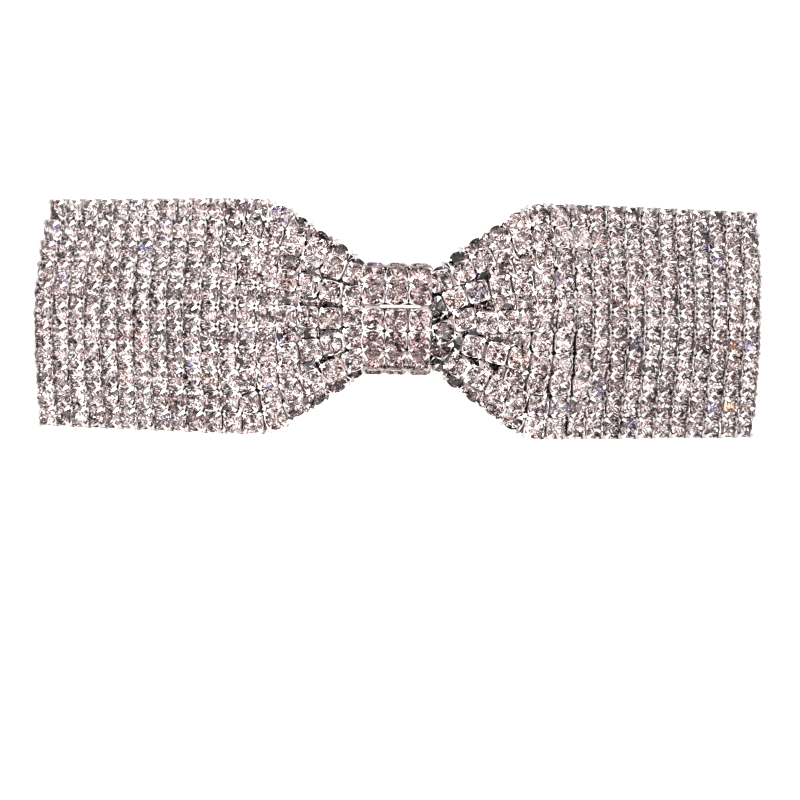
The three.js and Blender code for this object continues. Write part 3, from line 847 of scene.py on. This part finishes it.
# ---- clasp bar
BAR_HINGE_END = -BAR_RADIUS * math.asin(-HINGE_X / BAR_RADIUS) + 0.2
SPOON_WINDOW, WINDOW_HALF, WINDOW_INNER, WINDOW_OUTER = 34.6, 1.5, 1.8, 4.3
TIP_LENGTH, FLARE_START, FLARE_END = 3.2, 8.5, 2.2
LUG_ROOM_END = 0.6  # where the opening round the lugs turns into its round end
FIELD_FROM, FIELD_TO, FIELD_DROP = -21.0, 22.5, 0.3
DISH_AT, DISH, DISH_DEPTH = 31.2, (6.2, 3.9), 0.28  # the spoon's oval dish
DOT_PITCH, DOT_SIZE, DOT_DEPTH = 1.05, 0.035, 0.2
LABEL_BARS = ((-9, 8.5, 0.35, 1.5), (11.5, 20.5, 0.35, 1.1), (11.5, 20.5, -1.3, -0.6))  # s, then z
LABEL_HEIGHT = 0.14
MARKS_AT, MARK_STEP, MARK_DEPTH = -27.2, 0.9, 0.22  # two small dents near the hinge


def bar_half(s):
    flared = 1 - smooth(s, BAR_HINGE_END + FLARE_END, BAR_HINGE_END + FLARE_START)
    tip = np.clip((s - (BAR_TIP - TIP_LENGTH)) / TIP_LENGTH, 0, 0.96)
    return (BAR_HALF + (KNUCKLE_TO - BAR_HALF) * flared) * np.sqrt(1 - tip ** 2)


def bar_field(s, z):
    """The sunk field in the middle of the bar, 0 outside it and 1 inside."""
    along = smooth(s, FIELD_FROM - 0.4, FIELD_FROM + 0.4)
    along = along * (1 - smooth(s, FIELD_TO - 0.4, FIELD_TO + 0.4))
    return along * (1 - smooth(np.abs(z), 0.8 * BAR_HALF, 0.86 * BAR_HALF))


def bar_label(s, z):
    """Plain raised bars where a maker would stamp a mark."""
    raised = 0
    for low, high, z_low, z_high in LABEL_BARS:
        bar = smooth(s, low, low + 0.35) * (1 - smooth(s, high - 0.35, high))
        raised = raised + bar * smooth(z, z_low, z_low + 0.3) * (1 - smooth(z, z_high - 0.3, z_high))
    return raised


def bar_dots(s, z):
    """Round pits in rows and columns all over the field and along its two edges."""
    ds = (s / DOT_PITCH + 0.5) % 1 - 0.5
    dz = (z / DOT_PITCH + 0.5) % 1 - 0.5
    pit = np.exp(-(ds ** 2 + dz ** 2) / DOT_SIZE)
    label = smooth(s, -10.5, -10) * (np.abs(z) < 2.1)
    inside = (s > FIELD_FROM + 0.3) & (s < FIELD_TO - 0.3) & (np.abs(z) < 0.93 * BAR_HALF)
    return pit * inside * (1 - label)


def bar_pit_shade(bar):
    """Painted shade in the pits of the finished bar's outer face: how deep each point lies in a pit."""
    x, y, z = (np.array([vertex.co for vertex in bar.data.vertices]) / MM - [0, SHIFT_Y, SHIFT_Z]).T
    s = BAR_RADIUS * np.arctan2(x, BAR_APEX + BAR_RADIUS - y)
    depth = BAR_RADIUS - np.hypot(x, BAR_APEX + BAR_RADIUS - y)
    return 0.9 * bar_dots(s, z) * (depth > 0.1)


def clasp_bar():
    def front(s, z):
        dish = 1 - smooth(np.hypot((s - DISH_AT) / DISH[0], z / DISH[1]), 0.86, 1.0)
        return -FIELD_DROP * bar_field(s, z) - DISH_DEPTH * dish

    def back(s, z):
        marks = 0
        for k in (-MARK_STEP, MARK_STEP):
            marks = marks + np.exp(-(((s - MARKS_AT + k) / 0.5) ** 2 + ((z + k * 0.7) / 0.35) ** 2))
        rim = 0.07 * smooth(np.abs(z), bar_half(s) - 0.7, bar_half(s) - 0.3)
        stamped = LABEL_HEIGHT * bar_label(s, z) - DOT_DEPTH * bar_dots(s, z) - MARK_DEPTH * marks
        return front(s, z) + SHEET + stamped + rim

    tip_from = BAR_TIP - TIP_LENGTH
    stations = np.concatenate([np.linspace(BAR_HINGE_END, tip_from, 380),
                               tip_from + TIP_LENGTH * np.sin(np.radians(np.arange(6, 76, 6)))])
    body = sheet(on_arch(bar_arch), stations, lambda s: (-bar_half(s), bar_half(s)), front, back, 76, 0.16)
    bar = face_out(new_mesh("swing_bar", *body))
    room_frame = frame_on(bar_arch, BAR_HINGE_END + LUG_ROOM_END, 0)
    lug_room = punch("lug_room", room_frame, (-6, 0), (-KNUCKLE_FROM, KNUCKLE_FROM), 1.2)
    round_end = drill("round_end", room_frame, KNUCKLE_FROM)
    windows = [
        punch("window", frame_on(bar_arch, SPOON_WINDOW, 0), (-WINDOW_HALF, WINDOW_HALF),
              tuple(sorted((side * WINDOW_INNER, side * WINDOW_OUTER))))
        for side in (-1, 1)
    ]
    carve(bar, lug_room, round_end, *windows)
    # painted shade in the stamped pits
    mark_painted_shade(bar, [bar_pit_shade(bar)])
    dress(shade(bar, 40), "clasp", "nickel_sheet", nickel)
    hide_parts("clasp_bar")


def bar_knuckles():
    """The curls of the bar's hinge end, which turn about the pin."""
    def around_pin(u, v, d):
        a = np.radians(u)
        r = KNUCKLE_RADIUS - d
        return np.stack([HINGE_X + r * np.cos(a), HINGE_Y + r * np.sin(a), v + 0 * r], -1)

    for name, low, high in (("upper", KNUCKLE_FROM, KNUCKLE_TO), ("lower", -KNUCKLE_TO, -KNUCKLE_FROM)):
        curl = sheet(around_pin, np.linspace(-35, 285, 60), lambda a: (low, high),
                     lambda a, z: 0, lambda a, z: KNUCKLE_RADIUS - KNUCKLE_BORE, 4, 0.12)
        knuckle = face_out(new_mesh(f"bar_knuckle_{name}", *curl))
        dress(shade(knuckle, 40), "clasp", "nickel_sheet", nickel)


# ---- folded sheets of the hinge and the latch
def folded(matrix, path, side=1):
    """Places sheet coordinates on a folded path: u along the path, v along the frame's X.

    The path's points are (z, n) in the frame, and depth grows to the left of its direction.
    """
    path = np.asarray(path, float)
    lengths = np.r_[0, np.cumsum(np.linalg.norm(np.diff(path, axis=0), axis=1))]
    heading = unit(np.gradient(path, lengths, axis=0))
    frame_matrix = np.array(matrix)

    def place(u, v, d):
        z, n = (np.interp(u, lengths, path[:, k]) for k in (0, 1))
        hz, hn = (np.interp(u, lengths, heading[:, k]) for k in (0, 1))
        local = np.stack([v + 0 * d, n + d * hz, side * (z - d * hn), np.ones(np.shape(d))], -1)
        return (local @ frame_matrix.T)[..., :3]
    return place, lengths


def turn_points(z, n, radius, start, end, count=8):
    """Points of a bend in a folded path, round (z, n)."""
    angles = np.radians(np.linspace(start, end, count))
    return [(z + radius * math.cos(a), n + radius * math.sin(a)) for a in angles]


# The lugs' two sides at the foot, and the heights from which they lean in.
LUG_LOW, LUG_HIGH, LUG_LOW_SHOULDER, LUG_HIGH_SHOULDER = -3.4, 3.2, 2.4, 1.6


def hinge_lugs():
    """A U of thick sheet: a floor under the rivet and two lugs with round heads for the pin."""
    matrix = frame_on(bow_arch, -RIVET_AT, PLATE_DEPTH + SHEET)
    pin = matrix.inverted() @ Vector((HINGE_X, HINGE_Y, 0))
    head, lug_z, floor_n, bend = 1.75, 3.6, 0.7, 0.75
    top = pin.y + head - 0.01
    wall = [(lug_z, n) for n in np.linspace(floor_n + bend + 0.1, top, 60)]
    right = turn_points(lug_z - bend, floor_n + bend, bend, -90, 0) + wall
    path = [(-z, n) for z, n in reversed(right)] + [(0, floor_n)] + right
    place, lengths = folded(matrix, path)
    heights = np.interp(lengths, lengths, [n for _, n in path])

    def span(u):
        n = np.interp(u, lengths, heights)
        chord = np.sqrt(np.clip(head ** 2 - (n - pin.y) ** 2, 0.0004, None))
        narrowed = (pin.x - head - LUG_LOW) * smooth(n, LUG_LOW_SHOULDER, pin.y)
        low = np.where(n < pin.y, LUG_LOW + narrowed, pin.x - chord)
        shoulder = pin.y - 0.6
        slope = np.clip((n - LUG_HIGH_SHOULDER) / (shoulder - LUG_HIGH_SHOULDER), 0, 1)
        high = np.where(n < shoulder, LUG_HIGH + (pin.x + 1.64 - LUG_HIGH) * slope, pin.x + chord)
        return low, high

    flat = [lambda u, v, d=d: 0 * u + d for d in (-SHEET / 2, SHEET / 2)]
    lugs = face_out(new_mesh("hinge_lugs", *sheet(place, lengths, span, *flat, 8, 0.14)))
    along_z = Matrix.Translation((HINGE_X, HINGE_Y, 0)) @ Matrix.Rotation(math.pi / 2, 4, "X")
    carve(lugs, drill("pin_bore", along_z, PIN_RADIUS + 0.3, 16))
    dress(shade(lugs, 40), "bow", "nickel_sheet", nickel)
    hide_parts("hinge_bracket")


# The latch is drawn in a frame on the plate's back: t along the bow, n out of the back, z across.
WING_SHEET, WING_LOW, WING_HIGH = 0.6, -2.6, 2.4
WALL_Z, FOOT_N, FLARE_FROM, FLARE = 6.6, 1.95, 8.7, math.radians(24)
# The ear's round outlines: t and n of the middle, and radius.
BIG_LOBE, BIG_CORNER = (-5.4, 11.6, 2.9), (-2.0, 11.7, 2.8)
SMALL_LOBE, EAR_NOTCH = (2.6, 10.8, 2.0), (1.3, 13.2, 0.75)
EAR_TOP, EAR_STEPS, SMALL_LOBE_TOP = 14.5, 60, 12.75
HOOK_Z, HOOK_SPAN = 3.4, (1.9, 3.1)


def rounding(lobe, n):
    """How far a round outline reaches out from its middle at height n."""
    _, middle, radius = lobe
    return np.sqrt(np.clip(radius ** 2 - (n - middle) ** 2, 0, None))


def ear_low(n):
    return BIG_LOBE[0] - rounding(BIG_LOBE, n)


def ear_high(n):
    """The small lobe's far side, and above it the big lobe's rounded corner."""
    small = SMALL_LOBE[0] + rounding(SMALL_LOBE, n)
    return np.where(n < SMALL_LOBE_TOP, small, BIG_CORNER[0] + rounding(BIG_CORNER, n))


def ear_notch(matrix, side):
    """Cuts the round notch between the ear's two lobes."""
    t, n, radius = EAR_NOTCH
    reach = n - FLARE_FROM
    n, z = FLARE_FROM + reach * math.cos(FLARE), side * (WALL_Z + reach * math.sin(FLARE))
    across_sheet = Matrix.Rotation(side * (math.pi / 2 + FLARE), 4, "X")
    return drill("ear_notch", matrix @ Matrix.Translation((t, n, z)) @ across_sheet, radius, 2.4)


def wing_path():
    """A latch wing's fold, from its foot up the wall and out along the ear, as (z, n)."""
    bend = 0.7
    path = [(3.1, FOOT_N), (WALL_Z - bend - 0.1, FOOT_N)]
    path += turn_points(WALL_Z - bend, FOOT_N + bend, bend, -90, 0)
    path += [(WALL_Z, n) for n in np.linspace(FOOT_N + bend + 0.3, FLARE_FROM - 0.4, 16)]
    steps = np.linspace(0, EAR_TOP - FLARE_FROM - 0.02, EAR_STEPS)
    return path + [(WALL_Z + w * math.sin(FLARE), FLARE_FROM + w * math.cos(FLARE)) for w in steps]


def hook_path():
    """A hook's fold, from the wing's foot up to the barb that holds the bar."""
    path = [(4.9, FOOT_N), (4.0, FOOT_N)]
    path += [(7.0 - z, n) for z, n in turn_points(3.1, FOOT_N + 0.5, 0.5, -90, 0)]
    path += [(HOOK_Z, n) for n in np.linspace(3.0, 9.3, 12)]
    return path + [(3.5, 9.55), (3.62, 9.7)]


def latch_wings():
    matrix = frame_on(bow_arch, RIVET_AT, PLATE_DEPTH + SHEET)
    flat = [lambda u, v, d=d: 0 * u + d for d in (-WING_SHEET / 2, WING_SHEET / 2)]
    for name, side in (("upper", 1), ("lower", -1)):
        place, lengths = folded(matrix, wing_path(), side)
        ear_from = lengths[-EAR_STEPS]

        def span(u):
            n = FLARE_FROM + (u - ear_from)
            on_ear = u > ear_from + 0.05
            high = np.maximum(ear_high(n), WING_HIGH * (n < 10))
            return np.where(on_ear, ear_low(n), WING_LOW), np.where(on_ear, high, WING_HIGH)

        body = sheet(place, lengths, span, *flat, 12, 0.14)
        hook_place, hook_lengths = folded(matrix, hook_path(), side)
        hook = sheet(hook_place, hook_lengths, lambda u: HOOK_SPAN, *flat, 3, 0.12)
        wing = carve(face_out(new_mesh("wing", *body)), ear_notch(matrix, side))
        wing = join_meshes(f"wing_{name}_spring", wing, face_out(new_mesh("hook", *hook)))
        dress(shade(wing, 40), f"wing_{name}", "spring_steel", spring)
        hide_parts(f"latch_wing_{name}")


# ---- pieces whose CAD shape only needs finer edges
def finer(node, name, slot, finish, radius=0.12, segments=2):
    """The CAD shape of a part of the bow, with its flat faces joined and its edges rounded."""
    mesh = bpy.data.objects[node].data.copy()
    obj = new_object(name, mesh)
    mesh.materials.clear()
    made = bmesh.new()
    made.from_mesh(mesh)
    bmesh.ops.remove_doubles(made, verts=made.verts, dist=1e-6)
    bmesh.ops.dissolve_limit(made, angle_limit=math.radians(1), verts=made.verts, edges=made.edges)
    sharp = [e for e in made.edges if len(e.link_faces) == 2 and e.calc_face_angle() > math.radians(32)]
    bmesh.ops.bevel(made, geom=sharp, offset=radius * MM, segments=segments, profile=0.5,
                    affect="EDGES", clamp_overlap=True)
    bmesh.ops.triangulate(made, faces=[f for f in made.faces if len(f.verts) > 4])
    made.to_mesh(mesh)
    made.free()
    dress(shade(face_out(obj), 32), "bow", slot, finish)
    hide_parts(node)


stone_rows()
knot()
base_plate()
tension_leaf()
clasp_bar()
bar_knuckles()
hinge_lugs()
latch_wings()
finer("knot_seam_strip", "knot_seam_wire", "nickel_sheet", nickel, 0.15)
finer("hinge_rivet", "rivet_hinge_end", "steel_pin", wire)
finer("hinge_pin", "pin_through_hinge", "steel_pin", wire)
finer("latch_base", "latch_floor", "nickel_sheet", nickel)
finer("latch_rivet", "rivet_latch_end", "steel_pin", wire)
finer("glue_pad_left", "glue_left", "clear_glue", glue, 0.22, 3)
finer("glue_pad_right", "glue_right", "clear_glue", glue, 0.22, 3)

# ---- stage, light and camera
FLOOR = 30.0
FLOOR_GLOW = 0.7


def studio_floor():
    finish = material("studio_floor", Base_Color=(0.93, 0.93, 0.93, 1), Roughness=0.9, Specular_IOR_Level=0.1,
                      Emission_Color=(1, 1, 1, 1), Emission_Strength=FLOOR_GLOW)[0]
    mesh = bpy.data.meshes.new("studio_floor")
    corners = [(-FLOOR, -FLOOR, 0), (FLOOR, -FLOOR, 0), (FLOOR, FLOOR, 0), (-FLOOR, FLOOR, 0)]
    mesh.from_pydata(corners, [], [(0, 1, 2, 3)])
    mesh.materials.append(finish)
    floor = new_object("studio_floor", mesh)
    floor.visible_glossy = False
    floor.visible_transmission = False


def softbox(name, place, size, power, colour=(1, 1, 1)):
    light = bpy.data.lights.new(name, "AREA")
    light.shape = "RECTANGLE"
    light.size, light.size_y = size
    light.energy = power
    light.color = colour
    obj = new_object(name, light)
    obj.location = place
    obj.rotation_euler = (Vector((0, 0, 0.015)) - Vector(place)).to_track_quat("-Z", "Y").to_euler()


# The room's brightness: for each direction, where a change starts and ends, and its values there.
ROOM_LIGHT = (("X", -1, 1, 2.05, 1.4), ("Y", -0.6, 0.3, 1.0, 0.5), ("Z", 0.45, 0.8, 1.0, 0.55))
ROOM_CELLS = [
    (0.34, (0.02, 0.018, 0.018)), (0.4, (0.24, 0.22, 0.22)), (0.46, (0.76, 0.73, 0.73)),
    (0.6, (0.92, 0.89, 0.89)),
]


def room_strength(tree, direction):
    """How bright the room is in a direction."""
    split = add(tree, "SeparateXYZ", Vector=direction)
    strength = None
    for axis, start, end, low, high in ROOM_LIGHT:
        share = add(tree, "MapRange", Value=split.outputs[axis], From_Min=start, From_Max=end,
                    To_Min=low, To_Max=high)
        if strength is None:
            strength = share.outputs["Result"]
            continue
        product = add(tree, "Math", operation="MULTIPLY")
        tree.links.new(strength, product.inputs[0])
        tree.links.new(share.outputs["Result"], product.inputs[1])
        strength = product.outputs["Value"]
    return strength


def studio_world():
    """White behind the clip, and a room of pale and dark patches in its reflections."""
    world = bpy.data.worlds.new("studio")
    bpy.context.scene.world = world
    world.use_nodes = True
    tree = world.node_tree
    tree.nodes.clear()
    direction = add(tree, "TexCoord").outputs["Generated"]
    cells = add(tree, "TexNoise", Vector=direction, Scale=2.6, Detail=2.0, Roughness=0.55)
    room = add(tree, "Background", Color=ramp(tree, cells.outputs["Fac"], ROOM_CELLS),
               Strength=room_strength(tree, direction))
    white = add(tree, "Background", Color=(1, 1, 1, 1))
    mix = add(tree, "MixShader", Fac=add(tree, "LightPath").outputs["Is Camera Ray"])
    tree.links.new(room.outputs["Background"], mix.inputs[1])
    tree.links.new(white.outputs["Background"], mix.inputs[2])
    add(tree, "OutputWorld", Surface=mix.outputs["Shader"])


SIDE, SENSOR = 800, 36.0  # the picture's side in pixels, and the sensor's in millimetres
CAMERA_DISTANCE = 0.4
FOCAL_PIXELS = 7.61 * CAMERA_DISTANCE / MM
KNOT_PIXEL = (395, 319)  # where the middle of the knot's front appears
ROLL = math.radians(1.0)


def studio_camera():
    data = bpy.data.cameras.new("camera")
    data.sensor_width = SENSOR
    data.lens = SENSOR * FOCAL_PIXELS / SIDE
    data.clip_start, data.clip_end = 0.01, 60.0
    camera = new_object("camera", data)
    camera.location = Vector((0, SHIFT_Y * MM - CAMERA_DISTANCE, SHIFT_Z * MM))
    down = math.atan((SIDE / 2 - KNOT_PIXEL[1]) / FOCAL_PIXELS)
    aside = math.atan((KNOT_PIXEL[0] - SIDE / 2) / FOCAL_PIXELS)
    turn = Matrix.Rotation(aside, 3, "Z") @ Matrix.Rotation(math.pi / 2 - down, 3, "X")
    camera.rotation_euler = (turn @ Matrix.Rotation(ROLL, 3, "Z")).to_euler()
    bpy.context.scene.camera = camera


studio_floor()
softbox("top_box", (0.0, -0.15, 1.1), (1.2, 0.8), 1.6)
softbox("front_left", (-0.75, -0.75, 0.55), (0.45, 0.7), 4.6, (1.0, 0.97, 0.97))
softbox("front_right", (0.8, -0.6, 0.35), (0.3, 0.8), 2.0, (1.0, 0.96, 0.96))
softbox("front_low", (0.1, -1.0, 0.12), (0.9, 0.3), 1.0)
softbox("back_left", (0.7, 0.75, 0.6), (0.5, 0.6), 0.6)
softbox("back_right", (-0.8, 0.6, 0.45), (0.3, 0.7), 0.5)
studio_world()
studio_camera()
bpy.context.scene.view_settings.view_transform = "Standard"
bpy.context.scene.view_settings.look = "Medium High Contrast"
